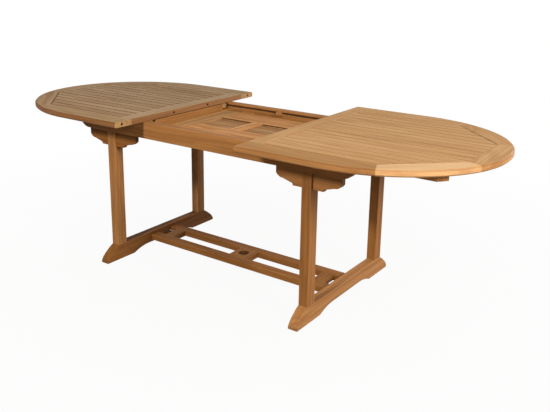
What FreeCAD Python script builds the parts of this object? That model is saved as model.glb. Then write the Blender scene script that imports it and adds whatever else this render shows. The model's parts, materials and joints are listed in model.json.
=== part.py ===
import FreeCAD, Part
import Sketcher
import math
import os
from types import SimpleNamespace

# Extending oval garden table: two sliding half tops on a trestle base, drawn open over a folded leaf.
# Frame: +X along the table, +Y to the back, +Z up, origin on the floor under the middle. Millimetres.

# Driving sizes
SIZES = (
    # Whole table
    ("top_height", 750),
    ("top_width", 1000),
    ("half_length", 890),
    ("drawn_gap", 650),
    ("overrun", 5),
    # Half tops
    ("rim_thick", 26),
    ("rim_edge", 6),
    ("end_reach_share", 1.05),
    ("end_radius_share", 0.95),
    ("border_width", 100),
    ("header_width", 70),
    ("end_board_width", 95),
    ("corner_cut_share", 0.6),
    ("mitre_near_share", 0.3827),
    ("mitre_far_share", 0.9239),
    ("mitre_reach", 300),
    ("board_edge", 0.8),
    ("slat_count", 16),
    ("slat_gap", 4),
    ("slat_thick", 15),
    ("slat_edge", 1.2),
    ("batten_width", 60),
    ("near_batten_share", 0.225),
    ("middle_batten_share", 0.55),
    ("far_batten_share", 0.805),
    # Runners under the half tops
    ("runner_width", 37.5),
    ("runner_depth", 30),
    ("runner_play", 0.5),
    ("runner_setback", 15),
    ("runner_length_share", 0.809),
    ("runner_taper", 29),
    # Locating dowels along the split
    ("dowel_radius", 5),
    ("dowel_play", 0.3),
    ("dowel_out", 15),
    ("dowel_in", 20),
    ("dowel_hole", 20),
    ("dowel_drop", 13),
    ("dowel_near_share", 0.31),
    ("dowel_rim_inset", 42),
    # Aprons
    ("slide_gap", 0.5),
    ("apron_spread_share", 0.652),
    ("apron_thick", 36),
    ("apron_height", 77),
    ("apron_length", 1500),
    ("apron_end_run", 48),
    ("apron_end_rise", 25.5),
    ("apron_edge", 2),
    ("groove_drop", 10.5),
    ("groove_height", 9),
    ("groove_depth", 10),
    ("groove_play", 0.3),
    ("groove_end_margin", 30),
    ("groove_stop_gap", 0.5),
    ("stop_play", 1),
    ("stop_height", 16),
    ("stop_proud", 12),
    # Rails across the frame
    ("rail_clearance", 4),
    ("well_rail_margin", 3),
    ("well_rail_width", 60),
    ("well_rail_height", 25),
    ("rail_tenon_share", 0.6),
    ("rail_tenon_length", 12),
    # Bearers under the stored leaf
    ("bearer_place_share", 0.617),
    ("bearer_width", 60),
    ("bearer_depth", 18),
    ("bearer_ear", 43),
    ("bearer_ear_low", 10),
    ("bearer_ear_run", 28),
    # Trestles
    ("post_place_share", 0.732),
    ("post_inset", 28),
    ("post_width", 45),
    ("post_depth", 53),
    ("post_edge", 1.2),
    ("post_tenon_width", 24),
    ("post_tenon_depth", 30),
    ("post_tenon_length", 45),
    ("foot_length_share", 0.8),
    ("foot_height", 75),
    ("foot_nose_low", 26),
    ("foot_nose_high", 43),
    ("foot_nose_run", 15),
    ("foot_pad", 180),
    ("foot_arch_run", 100),
    ("foot_arch_rise", 22),
    ("foot_edge", 1.5),
    # Scalloped brackets through the post heads
    ("bracket_span", 304),
    ("bracket_drop", 71),
    ("bracket_thick", 24),
    ("bracket_inset", 12),
    ("bracket_lip", 30),
    ("bracket_lobe_run", 33),
    ("bracket_lobe_drop", 19),
    ("bracket_slope_run", 39),
    ("bracket_slope_drop", 11),
    ("bracket_step_run", 9),
    # Stretcher between the feet
    ("stretcher_spread", 190),
    ("stretcher_width", 47),
    ("stretcher_top", 60),
    ("stretcher_height", 29.5),
    ("stretcher_edge", 1.2),
    ("tie_gap", 51),
    ("tie_width", 52),
    ("tie_tenon", 14),
    ("tie_tenon_thick", 12),
    ("tie_shoulder", 8),
    ("hub_length", 100),
    ("hub_bore", 25),
    ("bolt_radius", 4),
    ("nut_radius", 8),
    ("nut_thick", 6),
    ("nut_flat_share", 0.866),
    ("bolt_in_tie", 30),
    ("nut_rail_gap", 2),
    ("bolt_in_foot", 34),
    # Folding leaf
    ("leaf_end_play", 17),
    ("leaf_thick", 22),
    ("fold_gap", 0.6),
    ("leaf_rest_gap", 0.3),
    ("leaf_side_play", 3),
    ("leaf_border", 100),
    ("leaf_header", 90),
    ("leaf_slat_count", 8),
    ("leaf_slat_thick", 14),
    ("hinge_batten", 145),
    ("front_batten", 75),
    ("centre_batten", 58),
    ("finger_groove_height", 5),
    ("finger_groove_depth", 28),
    ("leaf_edge", 1.5),
    # Leaf hinges
    ("hinge_place", 100),
    ("hinge_length", 60),
    ("hinge_knuckle_radius", 2),
    ("hinge_pin_radius", 1),
    ("hinge_pin_play", 0.05),
    ("hinge_plate_thick", 1.5),
    ("hinge_play", 0.3),
)


# Sizes with their expressions
class Size:
    """A size's present value together with the sheet expression that gives it."""

    def __init__(self, text, value):
        self.text = text
        self.value = value

    def joined(self, sign, other, value):
        return Size(f"({self.text} {sign} {text_of(other)})", value)

    def __add__(self, other):
        return self.joined("+", other, self.value + value_of(other))

    def __sub__(self, other):
        return self.joined("-", other, self.value - value_of(other))

    def __mul__(self, other):
        return self.joined("*", other, self.value * value_of(other))

    def __truediv__(self, other):
        return self.joined("/", other, self.value / value_of(other))

    def __neg__(self):
        return Size(f"(-{self.text})", -self.value)

    def __rmul__(self, other):
        return self * other


def text_of(number):
    return number.text if isinstance(number, Size) else repr(number)


def value_of(number):
    return number.value if isinstance(number, Size) else number


doc = FreeCAD.newDocument("extending_oval_table")
sheet = doc.addObject("Spreadsheet::Sheet", "Sizes")
for row, (alias, start_value) in enumerate(SIZES, start=1):
    sheet.set(f"A{row}", alias)
    sheet.set(f"B{row}", str(start_value))
    sheet.setAlias(f"B{row}", alias)
doc.recompute()
s = SimpleNamespace(**{alias: Size(f"Sizes.{alias}", value) for alias, value in SIZES})
nodes = {}


# Building blocks
def bind(item, **expressions):
    """Ties properties to sheet expressions; a double underscore stands for a dot."""
    for path, size in expressions.items():
        item.setExpression(path.replace("__", "."), text_of(size))


def place(item, x=0, y=0, z=0):
    bind(item, Placement__Base__x=x, Placement__Base__y=y, Placement__Base__z=z)
    return item


def side_span(side, near, far):
    """The span from near to far out from the middle, on the side given by its sign."""
    return (near, far) if side > 0 else (-far, -near)


def box(name, x, y, z):
    """A plain block between three pairs of limits."""
    item = doc.addObject("Part::Box", name)
    bind(item, Length=x[1] - x[0], Width=y[1] - y[0], Height=z[1] - z[0])
    return place(item, x[0], y[0], z[0])


def rod(name, axis, span, radius, x=0, y=0, z=0):
    """A round bar of the given span along X, Y or Z."""
    item = doc.addObject("Part::Cylinder", name)
    turns = {"X": FreeCAD.Rotation(FreeCAD.Vector(0, 1, 0), 90),
             "Y": FreeCAD.Rotation(FreeCAD.Vector(1, 0, 0), -90),
             "Z": FreeCAD.Rotation()}
    item.Placement = FreeCAD.Placement(FreeCAD.Vector(), turns[axis])
    bind(item, Radius=radius, Height=span[1] - span[0])
    start = {"X": x, "Y": y, "Z": z}
    start[axis] = span[0]
    return place(item, start["X"], start["Y"], start["Z"])


def fuse(name, pieces):
    item = doc.addObject("Part::MultiFuse", name)
    item.Shapes = pieces
    return item


def cut(name, base, tools):
    item = doc.addObject("Part::Cut", name)
    item.Base = base
    item.Tool = tools[0] if len(tools) == 1 else fuse(f"{name}_tools", tools)
    return item


def common(name, base, tool):
    item = doc.addObject("Part::Common", name)
    item.Base = base
    item.Tool = tool
    return item


def group(name, pieces):
    item = doc.addObject("Part::Compound", name)
    item.Links = pieces
    return item


def keep(name, item, turned=False):
    """Names a finished sub-part, turned half round for the left half of the table."""
    item.Label = name
    if turned:
        item.Placement = FreeCAD.Placement(FreeCAD.Vector(), FreeCAD.Rotation(FreeCAD.Vector(0, 0, 1), 180))
    nodes[name] = item
    return item


def arc_between(start, end, radius, turn):
    """The short arc between two points, with its centre to the left when turn is positive."""
    chord = end - start
    rise = math.sqrt(max(radius * radius - chord.Length * chord.Length / 4, 0))
    across = FreeCAD.Vector(-chord.y, chord.x, 0).normalize()
    centre = (start + end) * 0.5 + across * (rise * turn)
    first = math.atan2(start.y - centre.y, start.x - centre.x)
    last = math.atan2(end.y - centre.y, end.x - centre.x)
    circle = Part.Circle(centre, FreeCAD.Vector(0, 0, 1), radius)
    return Part.ArcOfCircle(circle, first, last) if turn > 0 else Part.ArcOfCircle(circle, last, first)


def draw(sketch, corners):
    """Draws a closed outline; a corner with a radius and a turn starts an arc instead of a line."""
    points = [FreeCAD.Vector(value_of(corner[0]), value_of(corner[1]), 0) for corner in corners]
    first = sketch.GeometryCount
    ends = []
    for i, corner in enumerate(corners):
        start, end = points[i], points[(i + 1) % len(points)]
        if len(corner) == 2:
            sketch.addGeometry(Part.LineSegment(start, end))
            ends.append((1, 2))
            continue
        sketch.addGeometry(arc_between(start, end, value_of(corner[2]), corner[3]))
        ends.append((1, 2) if corner[3] > 0 else (2, 1))
    for i, corner in enumerate(corners):
        after = (i + 1) % len(corners)
        sketch.addConstraint(
            Sketcher.Constraint("Coincident", first + i, ends[i][1], first + after, ends[after][0]))
        for kind, axis, size in (("DistanceX", -2, corner[0]), ("DistanceY", -1, corner[1])):
            if not isinstance(size, Size):
                sketch.addConstraint(Sketcher.Constraint("PointOnObject", first + i, ends[i][0], axis))
                continue
            index = sketch.addConstraint(
                Sketcher.Constraint(kind, -1, 1, first + i, ends[i][0], value_of(size)))
            sketch.setExpression(f"Constraints[{index}]", size.text)
        if len(corner) > 2:
            index = sketch.addConstraint(Sketcher.Constraint("Radius", first + i, value_of(corner[2])))
            sketch.setExpression(f"Constraints[{index}]", corner[2].text)


def outline(name, plane, corners, depth, flip=False):
    """A body padded from an outline; flip mirrors the outline across its first axis."""
    if flip:
        corners = [(-corner[0] if isinstance(corner[0], Size) else corner[0], *corner[1:3],
                    *(-turn for turn in corner[3:])) for corner in corners]
    body = doc.addObject("PartDesign::Body", name)
    sketch = body.newObject("Sketcher::SketchObject", f"{name}_sketch")
    support = next(feature for feature in body.Origin.OriginFeatures if feature.Role == plane)
    sketch.AttachmentSupport = [(support, "")]
    sketch.MapMode = "FlatFace"
    draw(sketch, corners)
    pad = body.newObject("PartDesign::Pad", f"{name}_pad")
    pad.Profile = sketch
    bind(pad, Length=depth)
    return body


def rectangle(x, y):
    return [(x[0], y[0]), (x[1], y[0]), (x[1], y[1]), (x[0], y[1])]


def soften(body, radius, chosen, kind="PartDesign::Fillet"):
    """Rounds or chamfers the edges of a body's last feature that the test picks out."""
    doc.recompute()
    last = body.Tip
    names = [f"Edge{i}" for i, edge in enumerate(last.Shape.Edges, start=1) if chosen(edge)]
    feature = body.newObject(kind, f"{body.Name}_edge")
    feature.Base = (last, names)
    bind(feature, **{"Radius" if kind.endswith("Fillet") else "Size": radius})
    return body


def runs_along(axis):
    """A test for straight edges along one axis."""
    def chosen(edge):
        box_of = edge.BoundBox
        lengths = {"X": box_of.XLength, "Y": box_of.YLength, "Z": box_of.ZLength}
        along = lengths.pop(axis)
        return along > value_of(s.overrun) and max(lengths.values()) < value_of(s.board_edge) / 10
    return chosen


def lies_across(axis):
    """A test for edges that lie in a plane square to one axis, which are a pad's two outlines."""
    def chosen(edge):
        box_of = edge.BoundBox
        lengths = {"X": box_of.XLength, "Y": box_of.YLength, "Z": box_of.ZLength}
        return lengths[axis] < value_of(s.board_edge) / 10
    return chosen


# Levels and places that several pieces share
underside = s.top_height - s.rim_thick
apron_top = underside - s.slide_gap
apron_low = apron_top - s.apron_height
rail_top = underside - s.runner_depth - s.rail_clearance
half_width = s.top_width / 2
field_half = half_width - s.border_width
apron_out = half_width * s.apron_spread_share
apron_in = apron_out - s.apron_thick
apron_end = s.apron_length / 2
split = s.drawn_gap / 2
top_end = split + s.half_length
post_x = apron_end * s.post_place_share
post_y = apron_out - s.post_inset
dowel_level = s.top_height - s.dowel_drop
dowel_near = field_half * s.dowel_near_share
dowel_far = half_width - s.dowel_rim_inset
dowel_hole = s.dowel_radius + s.dowel_play
leaf_end = split - s.leaf_end_play
leaf_back = half_width / 2
SIDES_X = (("left", -1), ("right", 1))
SIDES_Y = (("front", -1), ("back", 1))


# Trestles: feet, posts and scalloped brackets
bracket_face = apron_out - s.bracket_inset


def build_bracket(name, side_x, side_y):
    """A scalloped board that runs through a post's head under the apron."""
    reach = s.bracket_span / 2
    lobe_end = reach - s.bracket_lobe_run
    slope_end = lobe_end - s.bracket_slope_run
    flat_end = slope_end - s.bracket_step_run
    lobe_low = s.bracket_lip + s.bracket_lobe_drop
    slope_low = lobe_low + s.bracket_slope_drop
    step_drop = s.bracket_drop - slope_low
    lobe_round = tangent_radius(s.bracket_lobe_run, s.bracket_lobe_drop)
    step_round = tangent_radius(s.bracket_step_run, step_drop)
    corners = [(-flat_end, -s.bracket_drop), (flat_end, -s.bracket_drop, step_round, -1),
               (slope_end, -slope_low), (lobe_end, -lobe_low, lobe_round, 1),
               (reach, -s.bracket_lip), (reach, 0), (-reach, 0), (-reach, -s.bracket_lip, lobe_round, 1),
               (-lobe_end, -lobe_low), (-slope_end, -slope_low, step_round, -1)]
    body = outline(f"{name}_piece", "XZ_Plane", corners, s.bracket_thick)
    rear = -(bracket_face - s.bracket_thick) if side_y < 0 else bracket_face
    return keep(name, place(body, side_x * post_x, rear, apron_low))


def tangent_radius(run, rise):
    """The radius of an arc over a run and a rise that ends level."""
    return (run * run + rise * rise) / (2 * rise)


def build_post(name, side_x, side_y, bracket):
    """A post with a tenon down into the foot and a slot in its head for the bracket."""
    centre_x = side_x * post_x
    centre_y = side_y * post_y
    section = rectangle((-s.post_width / 2, s.post_width / 2), (-s.post_depth / 2, s.post_depth / 2))
    shaft = outline(f"{name}_shaft", "XY_Plane", section, apron_low - s.foot_height)
    soften(shaft, s.post_edge, runs_along("Z"), "PartDesign::Chamfer")
    place(shaft, centre_x, centre_y, s.foot_height)
    tenon = box(f"{name}_tenon", (centre_x - s.post_tenon_width / 2, centre_x + s.post_tenon_width / 2),
                (centre_y - s.post_tenon_depth / 2, centre_y + s.post_tenon_depth / 2),
                (s.foot_height - s.post_tenon_length, s.foot_height))
    keep(name, cut(f"{name}_piece", fuse(f"{name}_whole", [shaft, tenon]), [bracket]))
    return tenon


def build_foot(name, side_x, tenons):
    """A sledge foot: rounded sloping noses, a pad at each end and an arch between the pads."""
    end = half_width * s.foot_length_share
    shoulder = post_y + s.post_depth / 2
    nose_in = end - s.foot_nose_run
    nose_round = tangent_radius(s.foot_nose_high - s.foot_nose_low, s.foot_nose_run)
    arch = s.foot_arch_rise
    arch_round = tangent_radius(s.foot_arch_run, arch)
    pad_end = end - s.foot_pad
    arch_end = pad_end - s.foot_arch_run
    corners = [(pad_end, 0), (end, 0), (end, s.foot_nose_low, nose_round, 1), (nose_in, s.foot_nose_high),
               (shoulder, s.foot_height), (-shoulder, s.foot_height),
               (-nose_in, s.foot_nose_high, nose_round, 1), (-end, s.foot_nose_low), (-end, 0),
               (-pad_end, 0, arch_round, -1), (-arch_end, arch), (arch_end, arch, arch_round, -1)]
    blank = outline(f"{name}_blank", "YZ_Plane", corners, s.post_width)
    soften(blank, s.foot_edge,
           lambda edge: lies_across("X")(edge) and edge.BoundBox.ZMax > value_of(s.foot_nose_low),
           "PartDesign::Chamfer")
    place(blank, side_x * post_x - s.post_width / 2)
    return keep(name, cut(f"{name}_piece", blank, tenons))


# Frame under the top: rails, leaf bearers and grooved aprons
rise_end = apron_in - s.runner_play - s.runner_width - s.rail_clearance


def build_rail(name, span, low, raised):
    """A rail across the frame, tenoned into both aprons; a raised one comes up between the runners."""
    body = box(f"{name}_body", span, (-apron_in, apron_in), (low, rail_top))
    tenon_x = (span[1] - span[0]) * s.rail_tenon_share / 2
    tenon_z = (rail_top - low) * s.rail_tenon_share / 2
    middle_x = (span[0] + span[1]) / 2
    middle_z = (low + rail_top) / 2
    reach = apron_in + s.rail_tenon_length
    tenon = box(f"{name}_tenon", (middle_x - tenon_x, middle_x + tenon_x), (-reach, reach),
                (middle_z - tenon_z, middle_z + tenon_z))
    parts = [body, tenon]
    if raised:
        levels = (rail_top, underside - s.rail_clearance)
        parts.append(box(f"{name}_rise", span, (-rise_end, rise_end), levels))
    return keep(name, fuse(f"{name}_piece", parts))


def build_bearer(name, side_x):
    """A cradle across the frame that holds the stored leaf between its two raised ears."""
    seat = rail_top - s.leaf_thick * 2 - s.fold_gap - s.leaf_rest_gap
    ear_in = leaf_back + s.leaf_side_play
    ear_top = seat + s.bearer_ear
    ear_low = seat + s.bearer_ear_low
    low = seat - s.bearer_depth
    reach = apron_in + s.rail_tenon_length
    knee = apron_in - s.bearer_ear_run
    corners = [(-knee, low), (knee, low), (apron_in, ear_low), (reach, ear_low), (reach, ear_top),
               (ear_in, ear_top), (ear_in, seat), (-ear_in, seat), (-ear_in, ear_top), (-reach, ear_top),
               (-reach, ear_low), (-apron_in, ear_low)]
    body = outline(f"{name}_piece", "YZ_Plane", corners, s.bearer_width)
    return keep(name, place(body, side_x * leaf_end * s.bearer_place_share - s.bearer_width / 2))


groove_top = apron_top - s.groove_drop
groove_low = groove_top - s.groove_height
groove_end = apron_end - s.groove_end_margin
stop_end = s.runner_setback - s.stop_play
stop_low = groove_top - s.stop_height


def build_apron(name, side_y, joined):
    """A long side rail with rounded lower ends and a stopped groove inside for the runner tongues."""
    end = apron_end
    low_end = end - s.apron_end_run
    knee = apron_low + s.apron_end_rise
    turn = tangent_radius(s.apron_end_run, s.apron_end_rise)
    corners = [(-low_end, apron_low), (low_end, apron_low, turn, 1), (end, knee),
               (end, apron_top), (-end, apron_top), (-end, knee, turn, 1)]
    blank = outline(f"{name}_blank", "XZ_Plane", corners, s.apron_thick)
    soften(blank, s.apron_edge, lies_across("Y"), "PartDesign::Chamfer")
    place(blank, 0, apron_out if side_y > 0 else -apron_in)
    depth = side_span(side_y, apron_in - s.overrun, apron_in + s.groove_depth)
    groove = box(f"{name}_groove", (-groove_end, groove_end), depth, (groove_low, groove_top))
    notch = box(f"{name}_notch", (-stop_end, stop_end), depth, (stop_low, groove_top))
    return keep(name, cut(f"{name}_piece", blank, [groove, notch] + joined))


def build_stops():
    """The blocks in the middle of the two grooves that the closing runners come up to."""
    blocks = []
    for row, sign in SIDES_Y:
        depth = side_span(sign, apron_in - s.stop_proud, apron_in + s.groove_depth)
        blocks.append(box(f"{row}_stop", (-stop_end, stop_end), depth, (stop_low, groove_top)))
    return keep("closing_stops", group("closing_stops_pair", blocks))


# Stretcher: two rails, two ties and the parasol hub, bolted to the feet
foot_face = post_x - s.post_width / 2
stretcher_out = s.stretcher_spread / 2
stretcher_in = stretcher_out - s.stretcher_width
stretcher_low = s.stretcher_top - s.stretcher_height
bolt_level = s.stretcher_top - s.stretcher_height / 2
tie_out = foot_face - s.tie_gap
tie_in = tie_out - s.tie_width


def build_tie(name, span):
    """A piece across the two stretcher rails, tenoned into both."""
    body = box(f"{name}_body", span, (-stretcher_in, stretcher_in), (stretcher_low, s.stretcher_top))
    reach = stretcher_in + s.tie_tenon
    tenon = box(f"{name}_tenon", (span[0] + s.tie_shoulder, span[1] - s.tie_shoulder), (-reach, reach),
                (bolt_level - s.tie_tenon_thick / 2, bolt_level + s.tie_tenon_thick / 2))
    return fuse(f"{name}_whole", [body, tenon])


def build_bolts():
    """One bolt from each tie across to its foot, beside a rail, with a six-sided nut against the tie."""
    bolts = []
    flat = s.nut_radius * s.nut_flat_share
    half = s.nut_radius / 2
    section = [(s.nut_radius, 0), (half, flat), (-half, flat), (-s.nut_radius, 0), (-half, -flat),
               (half, -flat)]
    for end, side_x in SIDES_X:
        tag = f"{end}_bolt"
        across = -side_x * (stretcher_in - s.nut_rail_gap - s.nut_radius)
        reach = side_span(side_x, tie_out - s.bolt_in_tie, foot_face + s.bolt_in_foot)
        shank = rod(f"{tag}_shank", "X", reach, s.bolt_radius, y=across, z=bolt_level)
        nut = outline(f"{tag}_nut", "YZ_Plane", section, s.nut_thick)
        place(nut, side_span(side_x, tie_out, tie_out + s.nut_thick)[0], across, bolt_level)
        bolts.append(fuse(f"{tag}_piece", [shank, nut]))
    keep("stretcher_bolts", group("stretcher_bolt_set", bolts))
    return bolts


def build_stretcher():
    """The whole lower stretcher with its bolts."""
    bolts = build_bolts()
    ties = []
    for end, side_x in SIDES_X:
        whole = build_tie(f"{end}_tie", side_span(side_x, tie_in, tie_out))
        ties.append(keep(f"{end}_tie", cut(f"{end}_tie_piece", whole, bolts)))
    hub_blank = build_tie("parasol_hub", (-s.hub_length / 2, s.hub_length / 2))
    hole = rod("parasol_hole", "Z", (stretcher_low - s.overrun, s.stretcher_top + s.overrun), s.hub_bore)
    hub = keep("parasol_hub", cut("parasol_hub_piece", hub_blank, [hole]))
    for row, side_y in SIDES_Y:
        section = rectangle(side_span(side_y, stretcher_in, stretcher_out), (stretcher_low, s.stretcher_top))
        blank = outline(f"{row}_stretcher_blank", "YZ_Plane", section, foot_face * 2)
        soften(blank, s.stretcher_edge, runs_along("X"), "PartDesign::Chamfer")
        place(blank, -foot_face)
        keep(f"{row}_stretcher", cut(f"{row}_stretcher_piece", blank, ties + [hub]))
    return bolts


# Half tops, drawn for the right half and turned half round for the left one
field_start = split + s.header_width
field_end = top_end - s.end_board_width
corner_cut = field_half * s.corner_cut_share
corner_start = field_end - corner_cut
corner_half = field_half - corner_cut
end_reach = half_width * s.end_reach_share
end_radius = half_width * s.end_radius_share
straight_end = top_end - end_reach
reach_rest = end_reach - end_radius
side_radius = ((reach_rest * reach_rest + half_width * half_width - end_radius * end_radius)
               / ((half_width - end_radius) * 2))
meet_x = (top_end - end_radius) + end_radius * reach_rest / (side_radius - end_radius)
meet_y = end_radius * (side_radius - half_width) / (side_radius - end_radius)


def field_prism(name, inset):
    """The six-sided field inside the border boards, with its corners drawn in by the inset."""
    corners = [(field_start, -field_half), (corner_start - inset, -field_half),
               (field_end, -(corner_half - inset)), (field_end, corner_half - inset),
               (corner_start - inset, field_half), (field_start, field_half)]
    return through_top(name, corners)


def through_top(name, corners):
    """A saw cut: a prism that runs past the top's two faces."""
    prism = outline(name, "XY_Plane", corners, s.rim_thick + s.overrun * 2)
    return place(prism, 0, 0, underside - s.overrun)


def border_prisms(half):
    """The saw cuts that part the oval blank into border boards, with mitres at the field's corners."""
    near = s.mitre_reach * s.mitre_near_share
    far = s.mitre_reach * s.mitre_far_share
    side_tip = (corner_start + near, field_half + far)
    end_tip = (field_end + far, corner_half + near)
    side_board = [(split, field_half), (corner_start, field_half), side_tip, (split, field_half + far)]
    corner = [(corner_start, field_half), (field_end, corner_half), end_tip, side_tip]
    end = [(field_end, -corner_half), (end_tip[0], -end_tip[1]), end_tip, (field_end, corner_half)]
    shapes = {"end_board": end}
    for row, sign in SIDES_Y:
        for part, corners in (("board", side_board), ("corner", corner)):
            shapes[f"{row}_{part}"] = [(x, y if sign > 0 else -y) for x, y in corners]
    return {part: through_top(f"{half}_{part}_prism", corners) for part, corners in shapes.items()}


def build_runner(name, side_y):
    """A sliding bar under a half top: a tongue for the apron's groove, and an end that follows the rim."""
    out = apron_in - s.runner_play
    inner = out - s.runner_width
    start = split + s.runner_setback
    end = start + s.half_length * s.runner_length_share
    corners = [(start, inner), (end + s.runner_taper, inner), (end, out), (start, out)]
    corners = corners if side_y > 0 else [(x, -y) for x, y in corners]
    bar = outline(f"{name}_bar", "XY_Plane", corners, s.runner_depth)
    place(bar, 0, 0, underside - s.runner_depth)
    tongue = box(f"{name}_tongue", (start, groove_end - s.groove_stop_gap),
                 side_span(side_y, out, apron_in + s.groove_depth - s.runner_play),
                 (groove_low + s.groove_play, groove_top - s.groove_play))
    return fuse(f"{name}_piece", [bar, tongue])


def dowel_rods(tag, span, radius, level, places):
    return [rod(f"{tag}_{i}", "X", span, radius, y=y, z=level) for i, y in enumerate(places, start=1)]


def build_half(half, turned):
    """One D-shaped half top: mitred border boards, header, slats, battens and two runners."""
    rim = [(split, -half_width), (straight_end, -half_width, side_radius, 1),
           (meet_x, -meet_y, end_radius, 1), (meet_x, meet_y, side_radius, 1), (straight_end, half_width),
           (split, half_width)]
    blank = outline(f"{half}_blank", "XY_Plane", rim, s.rim_thick)
    clear_of_split = value_of(split) + value_of(s.board_edge)
    soften(blank, s.rim_edge, lambda edge: lies_across("Z")(edge) and edge.BoundBox.XMax > clear_of_split,
           "PartDesign::Chamfer")
    place(blank, 0, 0, underside)
    header = outline(f"{half}_header_blank", "XY_Plane",
                     rectangle((split, field_start), (-field_half, field_half)), s.rim_thick)
    soften(header, s.board_edge, runs_along("Y"), "PartDesign::Chamfer")
    pieces = {part: common(f"{half}_{part}_sawn", blank, prism)
              for part, prism in border_prisms(half).items()}
    pieces["header"] = place(header, 0, 0, underside)
    if half == "left":
        span = (split - s.overrun, split + s.dowel_hole)
        rods = dowel_rods("left_bore", span, dowel_hole, dowel_level,
                          (-dowel_far, -dowel_near, dowel_near, dowel_far))
    else:
        span = (split - s.dowel_out, split + s.dowel_in)
        rods = dowel_rods("right_pin", span, s.dowel_radius, dowel_level,
                          (-dowel_far, -dowel_near, dowel_near, dowel_far))
        keep("right_dowels", group("right_dowel_set", rods))
    drilled = {"header": rods[1:3], "front_board": rods[:1], "back_board": rods[3:]}
    for part, piece in pieces.items():
        finished = cut(f"{half}_{part}_piece", piece, drilled[part]) if part in drilled else piece
        keep(half_name(half, part), finished, turned)
    keep(f"{half}_slats", build_slats(half), turned)
    keep(f"{half}_battens", build_battens(half), turned)
    for row, side_y in SIDES_Y:
        keep(half_name(half, f"{row}_runner"), build_runner(f"{half}_{row}_runner", side_y), turned)


def half_name(half, part):
    """The name that a part has once the half is in place: the left half's turn swaps front and back."""
    if half == "left":
        swaps = {"front": "back", "back": "front"}
        first = part.split("_")[0]
        part = part.replace(first, swaps.get(first, first), 1)
    return f"{half}_{part}"


def slat_section(width, low, high, edge):
    """A slat's cross-section with its upper edges taken off."""
    return [(0, low), (width, low), (width, high - edge), (width - edge, high), (edge, high),
            (0, high - edge)]


def build_slats(half):
    """The row of slats that fills the field, trimmed to its corners."""
    pitch = (field_half * 2 - s.slat_gap) / s.slat_count
    section = slat_section(pitch - s.slat_gap, s.top_height - s.slat_thick, s.top_height, s.slat_edge)
    body = outline(f"{half}_slat_row", "YZ_Plane", section, field_end - field_start)
    repeat(body, pitch, s.slat_count)
    place(body, field_start, s.slat_gap - field_half)
    return common(f"{half}_slats_trimmed", body, field_prism(f"{half}_slat_field", s.slat_gap))


def repeat(body, pitch, count):
    """Repeats a body's pad along its sketch's first axis."""
    pad = body.Tip
    doc.recompute()
    row = body.newObject("PartDesign::LinearPattern", f"{body.Name}_pattern")
    row.Originals = [pad]
    row.Direction = (pad.Profile[0], ["H_Axis"])
    bind(row, Length=pitch * (count - 1), Occurrences=count)
    body.Tip = row
    return body


def build_battens(half):
    """The battens under the slats, flush with the border's underside."""
    boards = []
    for i, share in enumerate((s.near_batten_share, s.middle_batten_share, s.far_batten_share), start=1):
        start = split + s.half_length * share
        boards.append(box(f"{half}_batten_{i}", (start, start + s.batten_width), (-field_half, field_half),
                          (underside, s.top_height - s.slat_thick)))
    return common(f"{half}_battens_trimmed", group(f"{half}_batten_row", boards),
                  field_prism(f"{half}_batten_field", 0))


# Folding leaf: two framed halves laid face to face, hinged along their back edge
leaf_front = -leaf_back
hinge_line = leaf_back + s.hinge_play
fold_level = rail_top - s.leaf_thick - s.fold_gap / 2
header_in = leaf_end - s.leaf_header
border_in = leaf_front + s.leaf_border
plate_in = hinge_line - s.hinge_knuckle_radius - s.hinge_play
plate_out = plate_in + s.hinge_plate_thick


def level_span(up, near, far):
    """The span from the fold outwards, upwards or downwards."""
    return (near, far) if up > 0 else (far, near)


def build_leaf_half(leaf, up):
    """One half of the folded leaf; up is 1 for the upper half and -1 for the lower one."""
    show = fold_level + up * s.fold_gap / 2
    rear = show + up * s.leaf_thick
    slat_rear = show + up * s.leaf_slat_thick
    depth = level_span(up, show, rear)
    pin_level = show + up * s.dowel_drop
    places = (hinge_line - dowel_far, hinge_line - dowel_near)
    pins = dowel_rods(f"{leaf}_pin", (-leaf_end - s.dowel_out, s.dowel_in - leaf_end), s.dowel_radius,
                      pin_level, places)
    holes = dowel_rods(f"{leaf}_hole", (leaf_end - s.dowel_hole, leaf_end + s.overrun),
                       dowel_hole, pin_level, places)
    border = outline(f"{leaf}_border_blank", "XY_Plane",
                     rectangle((-leaf_end, leaf_end), (leaf_front, border_in)), s.leaf_thick)
    soften(border, s.leaf_edge, runs_along("X"), "PartDesign::Chamfer")
    place(border, 0, 0, depth[0])
    keep(f"{leaf}_border", cut(f"{leaf}_border_piece", border, [pins[0], holes[0]]))
    ends = [box(f"{leaf}_{end}_header", side_span(sign, header_in, leaf_end), (border_in, leaf_back), depth)
            for end, sign in SIDES_X]
    headers = group(f"{leaf}_header_blanks", ends)
    keep(f"{leaf}_headers", cut(f"{leaf}_headers_piece", headers, [pins[1], holes[1]]))
    keep(f"{leaf}_dowels", group(f"{leaf}_dowel_set", pins))
    build_leaf_slats(leaf, up, level_span(up, show, slat_rear))
    build_leaf_battens(leaf, up, level_span(up, slat_rear, rear))
    build_hinges(leaf, up, show)


def build_leaf_slats(leaf, up, levels):
    """The thin slats of a leaf half, with their eased edges on the show side."""
    pitch = (plate_in - border_in) / s.leaf_slat_count
    section = slat_section(pitch - s.slat_gap, levels[0], levels[1], s.slat_edge)
    if up > 0:
        section = [(x, levels[0] + levels[1] - z) for x, z in section]
    body = outline(f"{leaf}_slat_row", "YZ_Plane", section, header_in * 2)
    repeat(body, pitch, s.leaf_slat_count)
    keep(f"{leaf}_slats", place(body, -header_in, border_in + s.slat_gap))


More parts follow.
